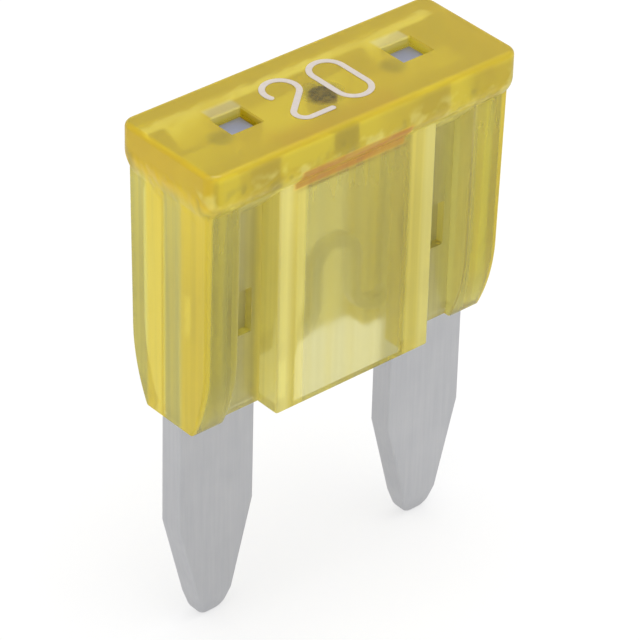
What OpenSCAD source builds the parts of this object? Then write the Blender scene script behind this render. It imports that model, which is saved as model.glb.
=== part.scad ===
// Plug-in blade fuse of the small 11 mm size, 20 A: a clear yellow housing moulded in one
// piece round one stamped metal element, with the rating printed on top. Millimetres.
// Upright: the seat plane (underside of the housing) is z = 0 and the blades point down.
// x runs from the left blade to the right blade, y from front to back.

/* [Head] */
// Width of the head along x
head_w = 10.9; // [10.7:0.1:12]
// Thickness of the head along y
head_t = 3.94; // [3.7:0.02:4.4]
// Height of the head's straight sides
head_h = 1.12; // [1:0.02:1.3]
// Height of the whole housing above the seat plane
housing_h = 8.8; // [8.6:0.1:10]
// Rounding of the head's upright corners
head_corner_r = 0.42; // [0.2:0.02:0.6]
// Rounding of the head's top edges
head_edge_r = 0.16; // [0.08:0.02:0.3]
// Height of the long slope under the head, from its sides in to the thin walls
slope_h = 1.2; // [1:0.02:1.3]

/* [Body] */
// Width of the body where its ends start to curve in
body_w = 10.62; // [10.5:0.02:10.7]
// Thickness over the end ribs where they start to curve in
body_t = 3.18; // [3:0.02:3.3]
// Extra width and thickness of the body up at the head, from its draft
draft = 0.1; // [0:0.02:0.12]
// Height above the seat where the curve starts
curve_h = 2.6; // [2:0.1:4]
// How far the ribs curve in at the seat, front and back
curve_in = 0.6; // [0.5:0.02:0.7]
// How far each end face curves in at the seat
end_in = 0.03; // [0.02:0.01:0.1]
// Thickness of the thin walls and the blades between them
web_t = 1.7; // [1.5:0.05:1.75]
// Height of the thin walls' lower edges above the seat, where only the panel rests
web_lift = 0.05; // [0.03:0.01:0.15]
// Width of each end rib along x
rib_w = 1.16; // [1:0.02:1.2]
// Width of the middle panel
panel_w = 5.56; // [5.3:0.02:5.8]
// Thickness of the middle panel
panel_t = 3.22; // [3:0.02:3.4]

/* [Hollows] */
// Width of the link chamber in the middle
chamber_w = 4; // [3.6:0.1:4.4]
// Front to back size of the link chamber
chamber_t = 2.3; // [2:0.05:2.5]
// Height of the link chamber
chamber_h = 6.96; // [6.9:0.02:7.4]
// Width of each test window in the top
window_w = 1.04; // [0.9:0.02:1.2]
// Front to back size of each test window
window_t = 0.94; // [0.84:0.02:1.1]
// Diameter of the round pocket in the chamber's ceiling
pocket_d = 0.9; // [0.7:0.05:1.2]
// Plastic left between that pocket and the top
pocket_skin = 0.75; // [0.5:0.05:1]

/* [Blades] */
// Distance between the blade centres
blade_pitch = 7.76; // [7.6:0.02:7.8]
// Width of each blade
blade_w = 2.68; // [2.6:0.02:2.8]
// Thickness of the metal
blade_t = 0.8; // [0.7:0.02:0.84]
// Length of the blades below the seat plane
blade_l = 7.15; // [6.5:0.05:8]
// Length of the tapered point
point_l = 3.55; // [2.5:0.05:4.2]
// Width of the blunt tip between its two slanted sides
tip_w = 0.86; // [0.7:0.02:1.2]
// Rounding of the tip's corners
tip_r = 0.3; // [0.2:0.02:0.34]
// Bevel along the edges of the blades
edge_bevel = 0.08; // [0.04:0.01:0.14]
// Gap between the metal and the plastic round it
fit_gap = 0.03; // [0.02:0.01:0.04]
// Wall left outside each blade slot, at the end
end_wall = 0.46; // [0.4:0.02:0.5]
// Height of the blades inside the housing, below the tabs
inner_h = 6.8; // [6.6:0.05:6.8]
// Width of the test tab above each blade
tab_w = 0.84; // [0.7:0.02:0.9]
// Step from the blade's inner edge in to the tab
tab_step = 0.06; // [0.04:0.01:0.2]
// Depth of the tab tops below the top of the housing
tab_drop = 0.2; // [0.1:0.02:0.5]

/* [Link] */
// Width of the link strip
link_w = 0.38; // [0.3:0.02:0.46]
// Thickness of the link strip, thinner than the blades
link_t = 0.32; // [0.2:0.02:0.5]
// Height of the centre of the link's arch
arch_z = 3.05; // [2.7:0.05:3.3]
// Radius of the arch, to the middle of the strip
arch_r = 0.72; // [0.6:0.02:0.84]
// Radius of the link's two lower bends, to the middle of the strip
bend_r = 0.84; // [0.7:0.02:0.9]
// Distance from the right blade's inner edge in to the centre of the bend beside it
bend_in = 0.62; // [0.5:0.02:0.64]
// Height of the centre of the bend beside the right blade
bend_z = 2; // [1.6:0.05:2.4]
// Height of the centre of the bend beside the left blade
left_bend_z = 2; // [1.6:0.05:2.4]

/* [Stakes] */
// Distance of each stake dimple from its blade's centre, towards the middle
stake_in = 0.38; // [0.28:0.02:0.48]
// Height of the dimple centres above the seat
stake_z = 3.25; // [3.1:0.05:3.6]
// Width of a stake dimple
stake_w = 0.8; // [0.6:0.02:0.9]
// Height of a stake dimple
stake_h = 1.44; // [1.1:0.02:1.6]
// Depth the plastic is pressed in at each dimple
stake_depth = 0.26; // [0.2:0.02:0.3]

/* [Print] */
// Height of the rating digits
digit_h = 2.25; // [1.9:0.05:2.4]
// Width of each digit
digit_w = 1.2; // [1:0.02:1.3]
// Distance between the centres of the two digits
digit_pitch = 1.66; // [1.5:0.02:1.9]
// Width of the printed stroke
stroke = 0.18; // [0.12:0.01:0.26]
// Radius of the turn at the foot of the 2, to the middle of the stroke
foot_r = 0.3; // [0.2:0.02:0.34]
// Shift of the digits to the left of the middle
print_left = 0.28; // [0:0.02:0.5]
// Shift of the digits towards the front
print_front = 0.08; // [0:0.02:0.3]
// Thickness of the printed ink
ink_t = 0.02; // [0.02:0.01:0.04]

/* [Hidden] */
$fn = 96;
eps = 0.01;
head_z = housing_h - head_h;
roof_z = head_z - slope_h;
top_w = body_w + draft;
top_t = body_t + draft;
neck_z = head_z - slope_h * (head_t - top_t) / (head_t - web_t);
slot_t = blade_t + 2 * fit_gap;
slot_x = body_w / 2 - end_wall;
slot_h = inner_h + 2 * fit_gap;
inner_x = blade_pitch / 2 - blade_w / 2;
tab_x = inner_x + tab_step + tab_w / 2;
right_bend_x = inner_x - bend_in;
right_leg_x = right_bend_x - bend_r;
arch_x = right_leg_x - arch_r;
left_leg_x = arch_x - arch_r;
left_bend_x = left_leg_x - bend_r;
link_in = 0.05;
stake_x = blade_pitch / 2 - stake_in;
hole_margin = 0.15;
thin_l = 0.7;
tab_edge = 0.05;
digit_r = digit_w / 2 - stroke / 2;

housing();
fuse_element();
rating_print();

// One moulded piece: head, end ribs, thin webs and middle panel, hollow inside.
module housing() {
    color([0.85, 0.74, 0.1]) {
        difference() {
            union() {
                head();
                end_ribs();
                web();
                box_up(panel_w, panel_t, 0, head_z);
            }
            box_up(chamber_w, chamber_t, -1, chamber_h);
            for (s = [-1, 1]) {
                blade_slot(s);
                translate([s * tab_x, 0, 0]) box_up(window_w, window_t, slot_h - eps, housing_h + 1);
                for (f = [-1, 1]) stake(s, f, web_t / 2 + eps);
            }
            translate([0, 0, chamber_h - eps])
                cylinder(h = housing_h - pocket_skin - chamber_h + eps, d = pocket_d);
        }
        for (s = [-1, 1], f = [-1, 1]) stake(s, f, slot_t / 2 + eps);
    }
}

// Head with rounded upright corners and top edges, and below it a slope in to the ribs, the
// panel and the thin walls, which makes the roof of the recesses between them.
module head() {
    intersection() {
        translate([0, 0, roof_z]) linear_extrude(housing_h - roof_z)
            rounded_rect(head_w, head_t, head_corner_r);
        rotate([90, 0, 0]) linear_extrude(head_t + 2, center = true)
            head_profile(head_w, [[top_w / 2, neck_z], [(body_w - rib_w) / 2, roof_z]]);
        rotate([90, 0, 90]) linear_extrude(head_w + 2, center = true)
            head_profile(head_t, [[web_t / 2, roof_z]]);
    }
}

// Upright section of the head: straight sides, rounded at the top, then the points below them.
module head_profile(w, below) {
    right = concat([[w / 2, housing_h - head_edge_r], [w / 2, head_z]], below);
    polygon(concat(right, [for (i = [len(right) - 1:-1:0]) [-right[i][0], right[i][1]]]));
    translate([-w / 2 + head_edge_r, head_z]) square([w - 2 * head_edge_r, head_h]);
    for (s = [-1, 1]) translate([s * (w / 2 - head_edge_r), housing_h - head_edge_r])
        circle(head_edge_r);
}

// Outline of the body seen flat: straight with a little draft above, curved in to the seat.
module body_profile(w, top, drop) {
    r = (curve_h * curve_h + drop * drop) / (2 * drop);
    polygon([[-w / 2, curve_h], [w / 2, curve_h], [top / 2, neck_z + eps], [-top / 2, neck_z + eps]]);
    intersection() {
        translate([-w / 2, 0]) square([w, curve_h + eps]);
        translate([w / 2 - r, curve_h]) circle(r, $fn = 360);
        translate([r - w / 2, curve_h]) circle(r, $fn = 360);
    }
}

module body_block() {
    intersection() {
        rotate([90, 0, 0]) linear_extrude(body_t + 2, center = true) body_profile(body_w, top_w, end_in);
        rotate([90, 0, 90]) linear_extrude(body_w + 2, center = true) body_profile(body_t, top_t, curve_in);
    }
}

module end_ribs() {
    difference() {
        body_block();
        box_up(body_w - 2 * rib_w, body_t + 2, -1, housing_h);
    }
}

// Thin walls that cover the blades, front and back, set back behind the ribs and the panel.
module web() {
    intersection() {
        rotate([90, 0, 0]) linear_extrude(web_t, center = true) body_profile(body_w, top_w, end_in);
        box_up(body_w - rib_w, web_t, web_lift, head_z);
    }
}

module blade_slot(s) {
    len = slot_x - chamber_w / 2 + eps;
    translate([s * (slot_x - len / 2), 0, 0]) box_up(len, slot_t, -1, slot_h);
}

// Block one stake depth deep whose outer face is at y = face. Cut from the web it is the
// pressed dimple, added inside the slot it is the plastic pressed into the blade's hole.
module stake(s, f, face) {
    translate([s * stake_x, f * (face - (stake_depth + eps) / 2), stake_z])
        cube([stake_w, stake_depth + eps, stake_h], center = true);
}

// One stamped strip: two blades, a test tab above each, and the bent link between them.
module fuse_element() {
    color([0.74, 0.75, 0.78]) {
        for (s = [-1, 1]) blade(s);
        rotate([90, 0, 0]) linear_extrude(link_t, center = true) link_outline();
    }
}

module blade(s) {
    difference() {
        union() {
            translate([s * blade_pitch / 2, 0, 0]) outer_blade();
            inner_w = slot_x - fit_gap - inner_x;
            translate([s * (inner_x + inner_w / 2), 0, 0]) box_up(inner_w, blade_t, -fit_gap - eps, inner_h);
            translate([s * tab_x, 0, 0]) tab();
        }
        translate([s * stake_x, 0, stake_z])
            cube([stake_w + 2 * hole_margin, blade_t + 1, stake_h + 2 * hole_margin], center = true);
    }
}

// The part of a blade below the housing, bevelled along its edges and pointed.
module outer_blade() {
    intersection() {
        rotate([90, 0, 0]) linear_extrude(blade_t, center = true) point_outline();
        translate([0, 0, -blade_l - 1]) linear_extrude(blade_l + 1 - fit_gap)
            bevelled_rect(blade_w, blade_t, edge_bevel);
        rotate([90, 0, 90]) linear_extrude(blade_w, center = true) polygon([[-blade_t / 2, 0],
            [blade_t / 2, 0], [blade_t / 2, thin_l - blade_l], [blade_t / 4, -blade_l],
            [-blade_t / 4, -blade_l], [-blade_t / 2, thin_l - blade_l]]);
    }
}

module point_outline() {
    slope = (blade_w - tip_w) / 2 / point_l;
    corner_x = tip_w / 2 - tip_r * (sqrt(1 + slope * slope) - slope);
    meet_h = tip_r * (1 - slope / sqrt(1 + slope * slope));
    translate([-blade_w / 2, point_l - blade_l]) square([blade_w, blade_l - point_l]);
    intersection() {
        polygon([[-blade_w / 2, point_l - blade_l + eps], [blade_w / 2, point_l - blade_l + eps],
            [blade_w / 2, point_l - blade_l], [tip_w / 2, -blade_l], [-tip_w / 2, -blade_l],
            [-blade_w / 2, point_l - blade_l]]);
        union() {
            translate([-blade_w, meet_h - blade_l]) square([2 * blade_w, blade_l]);
            translate([-corner_x, -blade_l]) square([2 * corner_x, tip_r + eps]);
            for (s = [-1, 1]) translate([s * corner_x, tip_r - blade_l]) circle(tip_r);
        }
    }
}

module tab() {
    top = housing_h - tab_drop;
    box_up(tab_w, blade_t - 2 * tab_edge, inner_h - eps, top - tab_edge);
    box_up(tab_w - 2 * tab_edge, blade_t - 4 * tab_edge, inner_h, top);
}

// Link seen from the front: left bend, arch, and the low bend beside the right blade.
module link_outline() {
    arch_out = arch_r + link_w;
    bend_out = bend_r + link_w;
    intersection() {
        translate([arch_x, arch_z]) ring(arch_r);
        translate([arch_x - arch_out, arch_z]) square([2 * arch_out, arch_out]);
    }
    leg(left_leg_x, left_bend_z, arch_z);
    leg(right_leg_x, bend_z, arch_z);
    intersection() {
        translate([left_bend_x, left_bend_z]) ring(bend_r);
        translate([left_bend_x, left_bend_z - bend_out]) square(bend_out);
    }
    translate([-inner_x - link_in, left_bend_z - bend_r - link_w / 2])
        square([left_bend_x + inner_x + link_in + eps, link_w]);
    intersection() {
        translate([right_bend_x, bend_z]) ring(bend_r);
        translate([right_bend_x - bend_out, bend_z - bend_out])
            square([inner_x + link_in - right_bend_x + bend_out, bend_out]);
    }
}

module leg(x, low, high) {
    translate([x - link_w / 2, low - eps]) square([link_w, high - low + 2 * eps]);
}

module ring(r) {
    difference() {
        circle(r + link_w / 2);
        circle(r - link_w / 2);
    }
}

// Ink digits 2 and 0 on the top face, read from the front.
module rating_print() {
    color([0.93, 0.9, 0.86]) translate([-print_left, -print_front, housing_h])
        linear_extrude(ink_t) {
            translate([-digit_pitch / 2, 0]) digit_two();
            translate([digit_pitch / 2, 0]) digit_zero();
        }
}

module digit_zero() {
    difference() {
        stadium(digit_w, digit_h);
        stadium(digit_w - 2 * stroke, digit_h - 2 * stroke);
    }
}

// The 2 as one round-ended stroke: arch, straight to the left foot, round turn, foot.
module digit_two() {
    arch = [0, digit_h / 2 - digit_w / 2];
    turn = [foot_r - digit_r, foot_r - digit_h / 2 + stroke / 2];
    d = turn - arch;
    leave = atan2(d[1], d[0]) + acos((digit_r + foot_r) / norm(d));
    side = [cos(leave), sin(leave)];
    translate(arch) stroke_arc(digit_r, leave, 200);
    stroke_line(arch + digit_r * side, turn - foot_r * side);
    translate(turn) stroke_arc(foot_r, leave + 180, 270);
    stroke_line(turn - [0, foot_r], [digit_r, turn[1] - foot_r]);
}

module stroke_arc(r, from, to) {
    turns = [for (i = [0:4]) from + (to - from) * i / 4];
    intersection() {
        difference() {
            circle(r + stroke / 2);
            circle(r - stroke / 2);
        }
        polygon([[0, 0], for (t = turns) 2 * r * [cos(t), sin(t)]]);
    }
    translate(r * [cos(to), sin(to)]) circle(stroke / 2);
}

module stroke_line(a, b) {
    d = b - a;
    translate(a) rotate(atan2(d[1], d[0])) translate([0, -stroke / 2]) square([norm(d), stroke]);
    translate(b) circle(stroke / 2);
}

module stadium(w, h) {
    for (s = [-1, 1]) translate([0, s * (h - w) / 2]) circle(w / 2);
    square([w, h - w], center = true);
}

module bevelled_rect(w, t, c) {
    polygon([[-w / 2 + c, -t / 2], [w / 2 - c, -t / 2], [w / 2, -t / 2 + c], [w / 2, t / 2 - c],
        [w / 2 - c, t / 2], [-w / 2 + c, t / 2], [-w / 2, t / 2 - c], [-w / 2, -t / 2 + c]]);
}

module rounded_rect(w, t, r) {
    square([w - 2 * r, t], center = true);
    square([w, t - 2 * r], center = true);
    for (x = [-1, 1], y = [-1, 1]) translate([x * (w / 2 - r), y * (t / 2 - r)]) circle(r);
}

module box_up(w, t, low, high) {
    translate([-w / 2, -t / 2, low]) cube([w, t, high - low]);
}
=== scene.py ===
"""A small plug-in blade fuse: clear yellow housing, stamped metal element and printed rating."""

import bpy
import bmesh
import functools
import math
from mathutils import Matrix, Vector


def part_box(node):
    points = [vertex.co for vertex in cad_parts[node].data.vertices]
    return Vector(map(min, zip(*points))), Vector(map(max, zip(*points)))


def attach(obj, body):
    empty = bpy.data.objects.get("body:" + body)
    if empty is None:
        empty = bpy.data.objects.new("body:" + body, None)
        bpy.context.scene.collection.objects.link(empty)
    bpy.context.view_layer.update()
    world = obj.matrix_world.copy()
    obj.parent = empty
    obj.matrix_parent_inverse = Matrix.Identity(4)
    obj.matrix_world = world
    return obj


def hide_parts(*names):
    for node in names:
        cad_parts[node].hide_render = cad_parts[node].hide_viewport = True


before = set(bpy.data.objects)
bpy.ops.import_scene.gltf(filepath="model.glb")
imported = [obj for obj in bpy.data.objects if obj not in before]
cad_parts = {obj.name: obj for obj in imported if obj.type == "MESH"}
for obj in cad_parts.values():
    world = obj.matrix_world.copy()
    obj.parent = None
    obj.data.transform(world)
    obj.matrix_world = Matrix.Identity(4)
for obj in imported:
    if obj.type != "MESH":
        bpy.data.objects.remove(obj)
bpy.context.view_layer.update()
MM = 0.001
housing_low, housing_high = (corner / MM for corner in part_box("housing"))
element_low, element_high = (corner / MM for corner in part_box("fuse_element"))

# ---------------------------------------------------------------- sizes, in millimetres and degrees
# In the names W, T and H are sizes along x, y and z, L a length, R a radius, D a diameter, and X, Y and Z
# are places. Every place is measured from the middle of the housing and from its seat plane.

# Head, and the slope below it that is the roof of the recesses
HEAD_W, HEAD_T = housing_high.x - housing_low.x, housing_high.y - housing_low.y
TOP_Z = housing_high.z
HEAD_H, SLOPE_H = 1.12, 1.2
HEAD_CORNER, HEAD_EDGE, SLOPE_EDGE = 0.42, 0.16, 0.26
HEAD_Z = TOP_Z - HEAD_H
ROOF_Z = HEAD_Z - SLOPE_H

# Body: end ribs that curve in towards the seat, a thin web over each blade, and the middle panel
BODY_W, BODY_T, DRAFT = 10.62, 3.18, 0.1
RIB_W, CURVE_H, CURVE_IN, END_IN = 1.16, 2.6, 0.6, 0.03
CURVE_LEVELS = 26    # cuts across a rib, which let it follow its curve
WEB_T, WEB_LIFT = 1.7, 0.05
PANEL_W, PANEL_T = 5.56, 3.22
RIB_EDGE, PANEL_EDGE, SEAT_EDGE = 0.08, 0.08, 0.05
NECK_W, NECK_T = BODY_W + DRAFT, BODY_T + DRAFT
NECK_Z = HEAD_Z - SLOPE_H * (HEAD_T - NECK_T) / (HEAD_T - WEB_T)
INTO_HEAD = 0.3      # how far the body runs up into the head

# Link chamber, test windows, and the round pocket over the chamber
CHAMBER_W, CHAMBER_T, CHAMBER_H = 4.0, 2.3, 6.96
CHAMBER_EDGE, CEILING_EDGE = 0.12, 0.12
WINDOW_W, WINDOW_T, WINDOW_RIM = 1.04, 0.94, 0.04
POCKET_D, POCKET_TAPER, POCKET_SKIN = 0.9, 0.06, 0.75

# Blades, their test tabs and the slots that hold them
BLADE_PITCH, BLADE_W, BLADE_T = 7.76, 2.68, 0.8
BLADE_L = -element_low.z
POINT_L, TIP_W, TIP_R = 3.55, 0.86, 0.3
TIP_THIN_L, TIP_THIN = 0.7, 0.5      # the tip's last stretch, and how much of its thickness it loses
EDGE_BEVEL, INNER_BEVEL, FIT_GAP, END_WALL = 0.08, 0.04, 0.03, 0.46
CREASE = 40          # a blade's edges that turn by more are rounded
INNER_H, TAB_W, TAB_STEP, TAB_EDGE = 6.8, 0.84, 0.06, 0.05
TAB_Z = element_high.z
SLOT_T, SLOT_X, SLOT_H = BLADE_T + 2 * FIT_GAP, BODY_W / 2 - END_WALL, INNER_H + 2 * FIT_GAP
INNER_X = BLADE_PITCH / 2 - BLADE_W / 2
TAB_X = INNER_X + TAB_STEP + TAB_W / 2

# Link strip
LINK_W, LINK_T = 0.38, 0.32
ARCH_R, ARCH_Z = 0.72, 3.05
BEND_R, BEND_IN, BEND_Z, LEFT_BEND_Z = 0.84, 0.62, 2.0, 2.0
RIGHT_LEG_X = INNER_X - BEND_IN - BEND_R
INTO_LEFT = 0.05     # how far the link runs into the left blade
INTO_RIGHT = 168     # degrees that it turns at its low bend, which ends inside the right blade

# Stakes: dimples pressed through the holes of the blades
STAKE_IN, STAKE_Z, STAKE_W, STAKE_H, STAKE_DEPTH = 0.38, 3.25, 0.8, 1.44, 0.26
STAKE_X = BLADE_PITCH / 2 - STAKE_IN
STAKE_EDGE, HOLE_MARGIN = 0.05, 0.15

# Outer faces, and the place where a web ends and a rib begins
HEAD_X, BODY_X, PANEL_X, CHAMBER_X = HEAD_W / 2, BODY_W / 2, PANEL_W / 2, CHAMBER_W / 2
HEAD_Y, BODY_Y, PANEL_Y, CHAMBER_Y = HEAD_T / 2, BODY_T / 2, PANEL_T / 2, CHAMBER_T / 2
RIB_X = BODY_X - RIB_W

# Workshop allowances
PAST = 1.0           # how far a cutting block runs out of what it cuts
OVERLAP = 0.1        # how far one solid runs into another that it is joined to
SLIVER = 0.01        # how far apart, or one past the other, two faces are that must not coincide
SAME = 1e-6          # places closer than this are one
INK_LIFT = 0.004     # ink stands this far off the plastic, so the two surfaces do not coincide
FLOOR_HALF = 600

# Light: how strong the white surroundings are as ambient light, and in reflections
AMBIENT, MIRRORED = 0.8, 0.55
PLASTIC_IOR = 1.57


# ---------------------------------------------------------------- modelling
def new_piece(name, bm):
    """Makes an object from a bmesh drawn in millimetres."""
    bmesh.ops.scale(bm, vec=Vector((MM, MM, MM)), verts=bm.verts)
    bmesh.ops.recalc_face_normals(bm, faces=bm.faces)
    mesh = bpy.data.meshes.new(name)
    bm.to_mesh(mesh)
    bm.free()
    piece = bpy.data.objects.new(name, mesh)
    bpy.context.scene.collection.objects.link(piece)
    return piece


def block(bm, low, high):
    """A box between two corners. Returns its vertices."""
    low, high = Vector(low), Vector(high)
    verts = bmesh.ops.create_cube(bm, size=1.0)["verts"]
    bmesh.ops.scale(bm, vec=high - low, verts=verts)
    bmesh.ops.translate(bm, vec=(low + high) / 2, verts=verts)
    return verts


def edges_of(bm, verts, test):
    """Edges whose both ends are among the vertices, and which pass a test on their two ends."""
    verts = set(verts)
    return [e for e in bm.edges if set(e.verts) <= verts and test(*(v.co for v in e.verts))]


def upright(a, b):
    return abs(a.x - b.x) < SAME and abs(a.y - b.y) < SAME


def front_to_back(a, b):
    return abs(a.y - b.y) > SAME


def level_at(z):
    return lambda a, b: abs(a.z - z) < SAME and abs(b.z - z) < SAME


def bevel(bm, edges, radius, segments):
    return bmesh.ops.bevel(bm, geom=edges, offset=radius, segments=segments, affect="EDGES", profile=0.5,
                           material=-1, clamp_overlap=True)


def round_off(bm, verts, test, radius, segments):
    """Rounds the edges that pass a test. Returns the block's vertices as they are afterwards."""
    made = bevel(bm, edges_of(bm, verts, test), radius, segments)
    now = {v for v in [*verts, *made["verts"]] if v.is_valid}
    return [v for v in bm.verts if v in now]


def inside_walls(faces):
    """The faces that turn into inside walls when they are extended, being joined to others."""
    return [f for f in faces if any(len(e.link_faces) > 1 for e in f.edges)]


def pull(bm, faces, offset):
    """Extends a solid from its end faces by an offset. Returns the faces at the new end."""
    inside = inside_walls(faces)
    made = bmesh.ops.extrude_face_region(bm, geom=faces)["geom"]
    bmesh.ops.translate(bm, vec=offset, verts=[g for g in made if isinstance(g, bmesh.types.BMVert)])
    bmesh.ops.delete(bm, geom=inside, context="FACES_ONLY")
    return [g for g in made if isinstance(g, bmesh.types.BMFace)]


def sweep(bm, faces, centre, degrees, steps):
    """Extends a solid from its end faces round an axis along y. Returns the faces at the new end."""
    inside = inside_walls(faces)
    made = bmesh.ops.spin(bm, geom=faces, cent=centre, axis=(0, 1, 0), angle=math.radians(degrees),
                          steps=steps, use_duplicate=False)
    bmesh.ops.delete(bm, geom=inside, context="FACES_ONLY")
    return [g for g in made["geom_last"] if isinstance(g, bmesh.types.BMFace)]


def cut_across(bm, verts, z):
    """Cuts the solid that holds these vertices at a height. Returns all its vertices."""
    solid = set(verts)
    parts = [g for g in [*bm.edges, *bm.faces] if set(g.verts) <= solid]
    made = bmesh.ops.bisect_plane(bm, geom=[*verts, *parts], plane_co=(0, 0, z), plane_no=(0, 0, 1))
    now = solid | {g for g in made["geom_cut"] if isinstance(g, bmesh.types.BMVert)}
    return [v for v in bm.verts if v in now]


def combine(target, operation, tool):
    """Joins or cuts one solid with another, and throws the tool away."""
    step = target.modifiers.new("step", "BOOLEAN")
    step.operation, step.solver, step.use_self, step.object = operation, "EXACT", True, tool
    result = bpy.data.meshes.new_from_object(target.evaluated_get(bpy.context.evaluated_depsgraph_get()))
    target.modifiers.remove(step)
    old, target.data = target.data, result
    bpy.data.meshes.remove(old)
    bpy.data.objects.remove(tool)
    result.name = target.name


def put_in_order(bm, mesh):
    """Sorts everything by place, because a boolean's parts come in another order on each run."""
    def rank(point):
        return point.x + math.sqrt(2) * point.y + math.sqrt(3) * point.z

    bm.verts.sort(key=lambda v: rank(v.co))
    bm.edges.sort(key=lambda e: rank(e.verts[0].co + e.verts[1].co))
    bm.faces.sort(key=lambda f: rank(f.calc_center_median()))
    bm.to_mesh(mesh)
    bm.clear()
    bm.from_mesh(mesh)


def finish_surface(piece, smooth_below, flat_within=0.4):
    """Clean faces, smooth across edges softer than an angle, and flats kept flat."""
    bm = bmesh.new()
    bm.from_mesh(piece.data)
    bmesh.ops.remove_doubles(bm, verts=bm.verts, dist=1e-8)
    put_in_order(bm, piece.data)
    bmesh.ops.dissolve_limit(bm, angle_limit=math.radians(flat_within), verts=bm.verts, edges=bm.edges)
    bmesh.ops.recalc_face_normals(bm, faces=bm.faces)
    bm.to_mesh(piece.data)
    bm.free()
    piece.data.shade_smooth()
    piece.data.set_sharp_from_angle(angle=math.radians(smooth_below))
    flats = piece.modifiers.new("flats stay flat", "WEIGHTED_NORMAL")
    flats.mode, flats.weight, flats.keep_sharp = "FACE_AREA", 50, True


# ---------------------------------------------------------------- housing
def lean(z, reach):
    """How far a rib has curved in at a height, where reach is its most, at the seat plane."""
    if z >= CURVE_H:
        return -DRAFT / 2 * (z - CURVE_H) / (NECK_Z - CURVE_H)
    radius = (CURVE_H ** 2 + reach ** 2) / (2 * reach)
    return radius - math.sqrt(radius ** 2 - (CURVE_H - z) ** 2)


def end_rib(bm, side, top):
    """The rib at one end, which curves in at its front and back and, much less, at its outer face."""
    inner, outer = sorted((side * RIB_X, side * BODY_X))
    rib = block(bm, (inner, -BODY_Y, 0), (outer, BODY_Y, top))
    rib = round_off(bm, rib, upright, RIB_EDGE, segments=5)
    rib = round_off(bm, rib, level_at(0), SEAT_EDGE, segments=3)
    for i in range(1, CURVE_LEVELS + 1):
        rib = cut_across(bm, rib, SEAT_EDGE + (CURVE_H - SEAT_EDGE) * i / CURVE_LEVELS)
    for v in rib:
        v.co.y -= math.copysign(1, v.co.y) * lean(v.co.z, CURVE_IN)
        if abs(v.co.x) > BODY_X - RIB_W / 2:
            v.co.x -= math.copysign(1, v.co.x) * lean(v.co.z, END_IN)


def body_blocks():
    """Two end ribs, the thin webs between them and the middle panel, as crossing blocks."""
    bm = bmesh.new()
    top, web_x, web_y = HEAD_Z + INTO_HEAD, BODY_X - RIB_W / 2, WEB_T / 2
    end_rib(bm, -1, top)
    end_rib(bm, 1, top)
    web = block(bm, (-web_x, -web_y, WEB_LIFT), (web_x, web_y, top))
    round_off(bm, web, level_at(WEB_LIFT), SEAT_EDGE, segments=3)
    panel = block(bm, (-PANEL_X, -PANEL_Y, 0), (PANEL_X, PANEL_Y, top))
    panel = round_off(bm, panel, upright, PANEL_EDGE, segments=4)
    round_off(bm, panel, level_at(0), SEAT_EDGE, segments=3)
    return new_piece("housing_shell", bm)


def head_solid():
    """The head, and the slope below it that is the roof of the recesses."""
    bm = bmesh.new()
    head = block(bm, (-HEAD_X, -HEAD_Y, HEAD_Z), (HEAD_X, HEAD_Y, TOP_Z))
    head = round_off(bm, head, upright, HEAD_CORNER, segments=12)
    round_off(bm, head, level_at(TOP_Z), HEAD_EDGE, segments=6)
    end = [f for f in bm.faces if all(abs(v.co.z - HEAD_Z) < SAME for v in f.verts)]
    size = Vector((HEAD_W, HEAD_T, HEAD_Z))
    for smaller in Vector((NECK_W, NECK_T, NECK_Z)), Vector((BODY_W - RIB_W, WEB_T, ROOF_Z)):
        end = pull(bm, end, (0, 0, smaller.z - size.z))
        verts = list(dict.fromkeys(v for f in end for v in f.verts))
        bmesh.ops.scale(bm, vec=(smaller.x / size.x, smaller.y / size.y, 1), verts=verts)
        size = smaller
    round_off(bm, bm.verts[:], level_at(HEAD_Z), SLOPE_EDGE, segments=4)
    return new_piece("head", bm)


def link_chamber(bm):
    chamber = block(bm, (-CHAMBER_X, -CHAMBER_Y, -PAST), (CHAMBER_X, CHAMBER_Y, CHAMBER_H))
    chamber = round_off(bm, chamber, upright, CHAMBER_EDGE, segments=4)
    round_off(bm, chamber, level_at(CHAMBER_H), CEILING_EDGE, segments=8)


def window_shafts(bm):
    """A shaft over each tab, with a rim that widens at 45 degrees to the top face."""
    w, t = WINDOW_W / 2, WINDOW_T / 2
    for x in (-TAB_X, TAB_X):
        block(bm, (x - w, -t, SLOT_H - SLIVER), (x + w, t, TOP_Z + PAST))
        rim = block(bm, (x - w, -t, TOP_Z - WINDOW_RIM), (x + w, t, TOP_Z + WINDOW_RIM))
        for v in rim:
            if v.co.z > TOP_Z:
                v.co.x += math.copysign(2 * WINDOW_RIM, v.co.x - x)
                v.co.y += math.copysign(2 * WINDOW_RIM, v.co.y)


def gate_pocket(bm):
    """The round pocket up from the chamber's ceiling, slightly narrower at its top."""
    low, high, radius = CHAMBER_H - 2 * OVERLAP, TOP_Z - POCKET_SKIN, POCKET_D / 2
    pocket = bmesh.ops.create_cone(bm, cap_ends=True, segments=40, radius1=radius,
                                   radius2=radius - POCKET_TAPER, depth=high - low)["verts"]
    bmesh.ops.translate(bm, vec=(0, 0, (low + high) / 2), verts=pocket)


def stakes(bm, face):
    """A block at the front and back of each blade, from y = face one stake depth and a sliver inwards."""
    half = Vector((STAKE_W, STAKE_DEPTH + SLIVER, STAKE_H)) / 2
    for side in (-1, 1):
        for front in (-1, 1):
            middle = Vector((side * STAKE_X, front * (face - half.y), STAKE_Z))
            verts = block(bm, middle - half, middle + half)
            round_off(bm, verts, front_to_back, STAKE_EDGE, segments=3)


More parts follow.
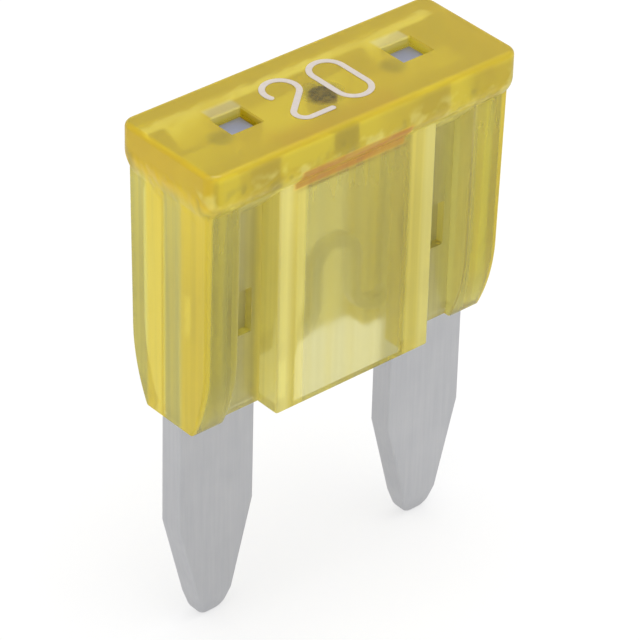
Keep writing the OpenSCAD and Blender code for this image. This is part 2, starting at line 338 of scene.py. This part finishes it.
def hollows():
    """Everything cut out of the housing: chamber, blade slots, test windows, pocket, dimples."""
    bm = bmesh.new()
    link_chamber(bm)
    block(bm, (-SLOT_X, -SLOT_T / 2, -PAST), (SLOT_X, SLOT_T / 2, SLOT_H))
    window_shafts(bm)
    gate_pocket(bm)
    stakes(bm, WEB_T / 2 + SLIVER)
    return new_piece("hollows", bm)


def pressed_blocks():
    bm = bmesh.new()
    stakes(bm, SLOT_T / 2 + SLIVER)
    return new_piece("pressed_blocks", bm)


def make_housing():
    shell = body_blocks()
    combine(shell, "UNION", head_solid())
    combine(shell, "DIFFERENCE", hollows())
    combine(shell, "UNION", pressed_blocks())
    finish_surface(shell, smooth_below=25)
    return shell


# ---------------------------------------------------------------- metal element
def outer_blades():
    """The two blades below the housing: pointed, thinned at the tip and rounded on every edge."""
    bm = bmesh.new()
    thin_z = TIP_THIN_L - BLADE_L
    for side in (-1, 1):
        blade = block(bm, (-BLADE_W / 2, -BLADE_T / 2, -BLADE_L), (BLADE_W / 2, BLADE_T / 2, -FIT_GAP))
        blade = cut_across(bm, blade, POINT_L - BLADE_L)
        tip = [v for v in blade if abs(v.co.z + BLADE_L) < SAME]
        bmesh.ops.scale(bm, vec=(TIP_W / BLADE_W, 1, 1), verts=tip)
        blade = round_off(bm, blade, lambda a, b: front_to_back(a, b) and level_at(-BLADE_L)(a, b),
                          TIP_R, segments=8)
        blade = cut_across(bm, blade, thin_z)
        for v in blade:
            v.co.y *= 1 - TIP_THIN * max(0, thin_z - v.co.z) / TIP_THIN_L
        bmesh.ops.translate(bm, vec=(side * BLADE_PITCH / 2, 0, 0), verts=blade)
    hard = [e for e in bm.edges if len(e.link_faces) == 2 and e.calc_face_angle() > math.radians(CREASE)]
    bevel(bm, hard, EDGE_BEVEL, segments=4)
    return new_piece("fuse_strip", bm)


def inner_blades():
    """The narrower part of each blade inside the housing, with its test tab."""
    bm = bmesh.new()
    for side in (-1, 1):
        near, far = sorted((side * INNER_X, side * (SLOT_X - FIT_GAP)))
        inner = block(bm, (near, -BLADE_T / 2, -FIT_GAP - OVERLAP), (far, BLADE_T / 2, INNER_H))
        inner = round_off(bm, inner, upright, INNER_BEVEL, segments=2)
        round_off(bm, inner, level_at(INNER_H), INNER_BEVEL, segments=2)
        tab = block(bm, (side * TAB_X - TAB_W / 2, TAB_EDGE - BLADE_T / 2, INNER_H - OVERLAP),
                    (side * TAB_X + TAB_W / 2, BLADE_T / 2 - TAB_EDGE, TAB_Z))
        tab = round_off(bm, tab, upright, TAB_EDGE, segments=2)
        round_off(bm, tab, level_at(TAB_Z), TAB_EDGE, segments=3)
    return new_piece("inner_blades", bm)


def stake_holes():
    bm = bmesh.new()
    half = Vector((STAKE_W / 2 + HOLE_MARGIN, BLADE_T, STAKE_H / 2 + HOLE_MARGIN))
    for side in (-1, 1):
        middle = Vector((side * STAKE_X, 0, STAKE_Z))
        hole = block(bm, middle - half, middle + half)
        round_off(bm, hole, front_to_back, HOLE_MARGIN, segments=4)
    return new_piece("stake_holes", bm)


def link():
    """The bent strip between the blades, swept both ways from the foot of its right leg."""
    bm = bmesh.new()
    right_leg, left_leg = RIGHT_LEG_X, RIGHT_LEG_X - 2 * ARCH_R
    foot = bmesh.ops.create_grid(bm, x_segments=1, y_segments=1, size=0.5)["verts"]
    bmesh.ops.scale(bm, vec=(LINK_W, LINK_T, 1), verts=foot)
    bmesh.ops.translate(bm, vec=(right_leg, 0, BEND_Z), verts=foot)
    start = bm.faces[:]
    sweep(bm, start, (right_leg + BEND_R, 0, BEND_Z), -INTO_RIGHT, steps=24)
    end = pull(bm, start, (0, 0, ARCH_Z - BEND_Z))
    end = sweep(bm, end, (right_leg - ARCH_R, 0, ARCH_Z), -180, steps=28)
    end = pull(bm, end, (0, 0, LEFT_BEND_Z - ARCH_Z))
    end = sweep(bm, end, (left_leg - BEND_R, 0, LEFT_BEND_Z), 90, steps=14)
    pull(bm, end, (BEND_R - left_leg - INNER_X - INTO_LEFT, 0, 0))
    bmesh.ops.remove_doubles(bm, verts=bm.verts, dist=1e-5)
    return new_piece("link", bm)


def make_element():
    strip = outer_blades()
    combine(strip, "UNION", inner_blades())
    combine(strip, "DIFFERENCE", stake_holes())
    combine(strip, "UNION", link())
    finish_surface(strip, smooth_below=35)
    return strip


# ---------------------------------------------------------------- printed rating
def make_print():
    """The two digits, merged from the CAD node and lifted a hair off the plastic."""
    bm = bmesh.new()
    bm.from_mesh(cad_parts["rating_print"].data)
    bmesh.ops.remove_doubles(bm, verts=bm.verts, dist=1e-7)
    bmesh.ops.dissolve_limit(bm, angle_limit=math.radians(1), verts=bm.verts, edges=bm.edges)
    bmesh.ops.scale(bm, vec=Vector((1, 1, 1)) / MM, verts=bm.verts)
    for v in bm.verts:
        v.co.z = max(v.co.z, TOP_Z + INK_LIFT)
    return new_piece("rating_digits", bm)


# ---------------------------------------------------------------- tools for finishes
class Sum:
    """A number socket that does sums: each one adds the Math node for it."""

    def __init__(self, finish, socket):
        self.finish, self.socket = finish, socket

    def _math(self, operation, *values):
        node = self.finish.add("ShaderNodeMath", {"operation": operation}, dict(enumerate(values)))
        return Sum(self.finish, node.outputs[0])

    def __add__(self, other):
        return self._math("ADD", self, other)

    def __sub__(self, other):
        return self._math("SUBTRACT", self, other)

    def __mul__(self, other):
        return self._math("MULTIPLY", self, other)

    def __rsub__(self, other):
        return self._math("SUBTRACT", other, self)

    __radd__, __rmul__ = __add__, __mul__

    def rise(self, start, end):
        """0 up to one value and 1 from another, smoothly between. Where start is the higher, it falls."""
        node = self.finish.add("ShaderNodeMapRange", {"interpolation_type": "SMOOTHSTEP"},
                               {0: self, 1: start, 2: end, 3: 0.0, 4: 1.0})
        return Sum(self.finish, node.outputs[0])

    def between(self, start, full, fading, end):
        """1 between the inner two values, and 0 outside the outer two."""
        return self.rise(start, full) * self.rise(end, fading)

    def outward(self, start, end):
        """As rise, by how far the number is from zero on either side."""
        return (self * self).rise(start ** 2, end ** 2)


class Finish:
    """The nodes of one material, or of the world."""

    def __init__(self, owner, output="ShaderNodeOutputMaterial"):
        owner.use_nodes = True
        self.owner, self.tree = owner, owner.node_tree
        self.tree.nodes.clear()
        self.output = self.tree.nodes.new(output)

    def add(self, kind, settings=None, inputs=None):
        """Any node: its settings first, then the values or links of its sockets."""
        node = self.tree.nodes.new(kind)
        for name, value in (settings or {}).items():
            setattr(node, name, value)
        for name, value in (inputs or {}).items():
            value = value.socket if isinstance(value, Sum) else value
            if isinstance(value, bpy.types.NodeSocket):
                self.tree.links.new(value, node.inputs[name])
            elif node.inputs[name].type == "RGBA":
                node.inputs[name].default_value = (*value, 1)
            else:
                node.inputs[name].default_value = value
        return node

    @functools.cached_property
    def place(self):
        return self.add("ShaderNodeTexCoord").outputs["Object"]

    def noise(self, per_mm, detail, stretch=(1, 1, 1)):
        """Noise of so many waves a millimetre, drawn out along an axis where its stretch is small."""
        place = self.add("ShaderNodeMapping", None, {"Vector": self.place, "Scale": stretch}).outputs[0]
        inputs = {"Vector": place, "Scale": per_mm / MM, "Detail": detail}
        return Sum(self, self.add("ShaderNodeTexNoise", None, inputs).outputs["Fac"])

    def axes(self):
        """The place on the piece in millimetres, as three numbers."""
        parts = self.add("ShaderNodeSeparateXYZ", None, {0: self.place}).outputs
        return [Sum(self, part) * (1 / MM) for part in parts]

    def mix(self, share, one, other):
        """One colour with a share of another over it."""
        return self.add("ShaderNodeMix", {"data_type": "RGBA"}, {0: share, 6: one, 7: other}).outputs[2]

    def bump(self, height, strength, depth):
        inputs = {"Height": height, "Strength": strength, "Distance": depth * MM}
        return self.add("ShaderNodeBump", None, inputs).outputs[0]

    def shader(self, kind, inputs=None):
        return self.add(kind, None, inputs).outputs[0]

    def blend(self, share, one, other):
        """One shader with a share of another in it."""
        return self.shader("ShaderNodeMixShader", {0: share, 1: one, 2: other})

    def end(self, shader, socket="Surface"):
        """Gives a shader to the output. Returns what the nodes belong to."""
        self.tree.links.new(shader, self.output.inputs[socket])
        return self.owner


def spot(x, y, full, faded):
    """1 within one distance of a point and 0 beyond another, where x and y are measured from it."""
    return (x * x + y * y).rise(faded ** 2, full ** 2)


# ---------------------------------------------------------------- clear yellow plastic
def gate_mark(x, y, z):
    """The plastic in and round the pocket under the digits, which is dark and speckled."""
    return spot(x, y, POCKET_D / 2, POCKET_D / 2 + 0.17) \
        * z.between(CHAMBER_H + 0.1, CHAMBER_H + 0.3, TOP_Z - 0.5, TOP_Z - 0.4)


def amber_band(x, y, z, streak):
    """A deep amber band on the front of the chamber's ceiling and, a little to the left, on the panel's
    face above it.
    """
    inwards, beside = y + CHAMBER_Y, x + 0.35
    ceiling = z.between(CHAMBER_H - 0.2, CHAMBER_H - 0.1, CHAMBER_H + 0.1, CHAMBER_H + 0.2) \
        * x.outward(CHAMBER_X + 0.4, CHAMBER_X + 0.1) * inwards.between(-0.2, -0.1, 0.45, 1.25)
    face = z.between(CHAMBER_H + 0.08, CHAMBER_H + 0.2, HEAD_Z + 0.08, HEAD_Z + 0.22) \
        * beside.outward(CHAMBER_X + 0.05, CHAMBER_X - 0.15) * y.rise(0.16 - PANEL_Y, 0.06 - PANEL_Y)
    return ceiling + face * (streak * 0.5 + 0.6)


def painted_glare_spots(f, y, z):
    """Painted highlights and painted shade, as pale and dark spots round the foot of the head, for the
    light that the plastic refracts there.
    """
    zone = z.between(NECK_Z - 0.1, HEAD_Z, HEAD_Z + 0.4, HEAD_Z + 0.8) \
        * y.outward(BODY_Y - 0.39, BODY_Y - 0.09)
    blobs = f.noise(1.8, 1.5)
    return blobs.rise(0.52, 0.70) * zone, blobs.rise(0.46, 0.30) * zone


def window_glint_and_shade(x, y, z):
    """A painted glint, the pale patch behind each window, and painted shade, the dark one in front of it
    to its left.
    """
    across = x * x - TAB_X ** 2     # in square millimetres, so that it is zero at both windows
    behind, ahead = y - WINDOW_T / 2, y + 0.45
    pale = across.outward(3.4, 2.6) * behind.between(-0.05, 0.03, 0.33, 0.53) \
        * z.rise(TOP_Z - 0.3, TOP_Z - 0.1)
    dark = sum(spot(x - (side * TAB_X - 0.9), ahead, 0.15, 0.5) for side in (-1, 1))
    return pale, dark * z.rise(TOP_Z - 0.1, TOP_Z - 0.02)


def body_bands(x, y, body):
    """The panel's solid sides and their outer parts, the webs, the end faces and the stripes on these. The
    sides and the stripes are painted light, a brighter yellow for the light that runs through solid
    plastic. The outer parts are a painted highlight along the edges. The webs are painted paler, as
    painted light for what the blades behind them send back.
    """
    sides = x.outward(CHAMBER_X - 0.25, CHAMBER_X - 0.05) \
        * x.outward(PANEL_X + 0.32, PANEL_X - 0.08) * body
    outer = x.outward(CHAMBER_X + 0.2, CHAMBER_X + 0.5) * sides
    webs = x.outward(PANEL_X - 0.08, PANEL_X + 0.32) * x.outward(RIB_X + 0.15, RIB_X - 0.05) * body
    ends = x.outward(BODY_X - 0.21, BODY_X - 0.11) * body
    stripes = ends * (y.between(0.05, 0.25, 0.8, 1.0) + y.rise(-0.45, -0.65))
    return sides, outer, webs, ends, stripes


def clear_yellow():
    """Clear plastic with some milk in it: more in the head, in the ends and where the body is solid."""
    f = Finish(bpy.data.materials.new("clear_yellow_plastic"))
    x, y, z = f.axes()
    haze, grain, streak = f.noise(1.2, 3), f.noise(9, 2), f.noise(2.2, 3, stretch=(0.35, 2, 2))
    head = z.rise(NECK_Z - 0.1, HEAD_Z + 0.2)
    roof = z.between(ROOF_Z - 2, HEAD_Z, HEAD_Z, HEAD_Z + 0.4)
    brow = y.outward(HEAD_Y - 0.22, HEAD_Y - 0.07) * z.rise(HEAD_Z, HEAD_Z + 0.15)
    cap = x.outward(HEAD_X - 0.2, HEAD_X - 0.05) * head
    clearer = spot(x + 0.3, y + 0.35, 0.35, 0.7) * z.rise(TOP_Z - 0.1, TOP_Z - 0.02)
    flow = f.noise(3.5, 3, stretch=(1, 1, 0.015)).rise(0.3, 0.7) * (1 - head)
    sides, outer, webs, ends, stripes = body_bands(x, y, 1 - head)
    gate, amber = gate_mark(x, y, z), amber_band(x, y, z, streak)
    # Painted highlights and painted shade round the foot of the head, kept off the amber band
    painted_highlight_spots, painted_shade_spots = (spots * (1 - amber) for spots in painted_glare_spots(f, y, z))
    # A painted glint behind each window, and painted shade in front of it
    painted_window_glints, painted_window_shade = window_glint_and_shade(x, y, z)

    # The body rows are painted light: brighter sides and stripes, a painted edge highlight on the outer
    # parts, and paler webs
    # Places, each with how far its colour covers what is there, the colour, and the milk that it adds
    in_body = ((webs, 0.8, (0.88, 0.82, 0.36), 0.12),
               (sides, 0.8, (1.0, 0.86, 0.16), 0.25),
               (stripes, 0.8, (0.76, 0.57, 0.02), 0.2),
               (outer, 0.6, (1.0, 0.93, 0.32), 0.08))
    # The first two rows are painted highlights and painted shade round the foot of the head
    near_head = ((painted_highlight_spots, 0.6, (0.95, 0.86, 0.22), 0.06),
                 (painted_shade_spots, 0.6, (0.34, 0.28, 0.03), 0.06),
                 # These two rows are the painted glint behind each window and the painted shade in front
                 # of it
                 (painted_window_glints, 0.7, (0.95, 0.86, 0.45), 0.0),
                 (painted_window_shade, 0.8, (0.42, 0.34, 0.02), 0.12))

    # Painted light here too: the sides and the stripes are made a richer yellow
    richness = flow * 0.6 + sides * 0.5 + stripes * 0.7 - ends * 0.3
    colour = f.mix(richness, (0.74, 0.67, 0.15), (0.97, 0.80, 0.06))
    for place, cover, tint, milk in in_body:
        colour = f.mix(place * cover, colour, tint)
    # Painted light and shade: the head is lighter at its top face and darker lower down its sides, as the
    # light falls
    painted_head_light = f.mix(z.rise(TOP_Z - 0.3, TOP_Z - 0.05), (0.70, 0.53, 0.02), (0.90, 0.68, 0.02))
    colour = f.mix(head, colour, f.mix(cap, painted_head_light, (0.95, 0.66, 0.0)))
    for place, cover, tint, milk in near_head:
        colour = f.mix(place * cover, colour, tint)
    speckled = f.mix(grain.rise(0.4, 0.6), (0.05, 0.035, 0.0), (0.35, 0.26, 0.02))
    deep_amber = f.mix(streak.rise(0.35, 0.65), (0.48, 0.15, 0.0), (0.56, 0.31, 0.01))
    colour = f.mix(amber, f.mix(gate, colour, speckled), deep_amber)

    milkiness = 0.2 + sum(place * milk for place, cover, tint, milk in in_body + near_head) + head * 0.2 \
        + roof * 0.15 + brow * 0.15 + cap * 0.1 + ends * 0.22 + flow * 0.08 + gate * 0.4 + amber * 0.75 \
        - clearer * 0.35
    lumps = (f.noise(2.2, 1) - 0.5) * z.between(NECK_Z - 0.3, NECK_Z, HEAD_Z + 0.2, HEAD_Z + 0.5)
    uneven = f.bump(haze + grain * 0.15 + lumps * 18, 0.25, 0.02)
    clear = f.shader("ShaderNodeBsdfPrincipled", {
        "Base Color": f.mix(haze, (1, 1, 1), (1.0, 0.985, 0.93)),
        "Roughness": haze * 0.05 + head * 0.08 + 0.1, "Transmission Weight": 1.0, "IOR": PLASTIC_IOR,
        "Coat Weight": 0.1, "Coat Roughness": 0.04, "Normal": uneven})
    milky = f.shader("ShaderNodeBsdfPrincipled", {
        "Base Color": colour, "Roughness": haze * 0.1 + 0.3, "IOR": PLASTIC_IOR, "Normal": uneven})
    soaked_up = {"Color": (0.988, 0.962, 0.167), "Density": 1.2 / MM}
    f.end(f.shader("ShaderNodeVolumeAbsorption", soaked_up), "Volume")
    return f.end(f.blend(milkiness, clear, milky))


# ---------------------------------------------------------------- metal, ink and floor
def satin_metal():
    """Pale stamped metal with a faint drawn grain, darker and bluer towards the tops of the tabs."""
    f = Finish(bpy.data.materials.new("satin_stamped_metal"))
    cloud, grain, drawn = f.noise(0.9, 3), f.noise(30, 2), f.noise(9, 3, stretch=(1, 1, 0.06))
    z = f.axes()[2]
    plain = f.mix(cloud * 0.5 + drawn * 0.5, (0.66, 0.67, 0.70), (0.90, 0.90, 0.91))
    return f.end(f.shader("ShaderNodeBsdfPrincipled", {
        "Base Color": f.mix(z.rise(TAB_Z - 0.3, TAB_Z - 0.1), plain, (0.46, 0.48, 0.58)),
        "Metallic": 1.0,
        "Roughness": cloud * 0.12 + drawn * 0.1 + 0.34,
        "Normal": f.bump(grain * 0.5 + drawn * 1.5 + cloud, 0.3, 0.01)}))


def pad_ink():
    f = Finish(bpy.data.materials.new("pale_pad_ink"))
    speck = f.noise(14, 3)
    return f.end(f.shader("ShaderNodeBsdfPrincipled", {
        "Base Color": f.mix(speck, (0.56, 0.50, 0.45), (0.70, 0.63, 0.58)),
        "Roughness": speck * 0.2 + 0.4,
        "Normal": f.bump(speck, 0.3, 0.01)}))


def pale_floor():
    """Matt white with the object's shadow, made whiter to the eye, dim in reflections, open from below."""
    f = Finish(bpy.data.materials.new("pale_floor"))
    path = f.add("ShaderNodeLightPath").outputs
    seen, mirrored, through = (Sum(f, path[name]) for name in ("Is Camera Ray", "Is Glossy Ray",
                                                               "Is Transmission Ray"))
    from_below = f.add("ShaderNodeNewGeometry").outputs["Backfacing"]
    matt = f.shader("ShaderNodeBsdfDiffuse", {"Color": (0.97, 0.97, 0.97)})
    white, dim = (f.shader("ShaderNodeEmission", {"Strength": strength}) for strength in (1.0, MIRRORED))
    lit = f.blend((seen + through) * 0.6, matt, white)
    lit = f.blend(mirrored * (1 - through) * 0.8 + through * 0.3, lit, dim)
    return f.end(f.blend(from_below, lit, f.shader("ShaderNodeBsdfTransparent")))


# ---------------------------------------------------------------- stage
def make_floor():
    bm = bmesh.new()
    verts = bmesh.ops.create_grid(bm, x_segments=1, y_segments=1, size=FLOOR_HALF)["verts"]
    bmesh.ops.translate(bm, vec=(0, 0, element_low.z - SLIVER), verts=verts)
    floor = new_piece("floor", bm)
    floor.data.materials.append(pale_floor())


def make_world():
    """White seen directly or through the plastic, and softer as ambient light and in reflections."""
    f = Finish(bpy.data.worlds.new("studio"), "ShaderNodeOutputWorld")
    path = f.add("ShaderNodeLightPath").outputs
    seen = Sum(f, path["Is Camera Ray"]) + Sum(f, path["Is Transmission Ray"])
    soft, dim, white = (f.shader("ShaderNodeBackground", {"Color": (1, 1, 1), "Strength": strength})
                        for strength in (AMBIENT, MIRRORED, 1.0))
    bpy.context.scene.world = f.end(f.blend(seen, f.blend(path["Is Glossy Ray"], soft, dim), white))


def lamp(name, direction, spread, strength):
    """A soft, far-off lamp that shines from a direction, with a spread in degrees."""
    data = bpy.data.lights.new(name, "SUN")
    data.angle, data.energy = math.radians(spread), strength
    piece = bpy.data.objects.new(name, data)
    piece.rotation_mode = "QUATERNION"
    piece.rotation_quaternion = Vector(direction).to_track_quat("Z", "Y")
    bpy.context.scene.collection.objects.link(piece)


def make_camera():
    """Looks from the front left and above, from far off, so lines hardly converge."""
    around, above, roll = math.radians(-41.305), math.radians(34.541), math.radians(1.601)
    distance, field, aim = 116.12, 18.0, Vector((0.428, 0.327, 0.767))
    level = math.cos(above)
    back = Vector((math.sin(around) * level, -math.cos(around) * level, math.sin(above)))
    data = bpy.data.cameras.new("camera")
    data.sensor_width, data.lens = 36, 36 * distance / field
    data.clip_start, data.clip_end = 0.01, 5
    camera = bpy.data.objects.new("camera", data)
    camera.location = back * distance * MM
    camera.rotation_mode = "QUATERNION"
    look = aim * MM - camera.location
    camera.rotation_quaternion = look.to_track_quat("-Z", "Y") \
        @ Matrix.Rotation(roll, 4, "Z").to_quaternion()
    bpy.context.scene.collection.objects.link(camera)
    bpy.context.scene.camera = camera


# ---------------------------------------------------------------- assembly
for piece, material, slot, node in ((make_housing(), clear_yellow(), "housing", "housing"),
                                    (make_element(), satin_metal(), "metal", "fuse_element"),
                                    (make_print(), pad_ink(), "ink", "rating_print")):
    piece.data.materials.clear()
    piece.data.materials.append(material)
    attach(piece, "root")
    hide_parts(node)

make_floor()
make_world()
lamp("key", direction=(0.2, -0.1, 1.6), spread=40, strength=0.9)
lamp("fill", direction=(-1, -0.1, 0.8), spread=60, strength=0.4)
make_camera()
scene = bpy.context.scene
scene.view_settings.view_transform = "Standard"
scene.cycles.max_bounces, scene.cycles.glossy_bounces, scene.cycles.transmission_bounces = 28, 20, 24
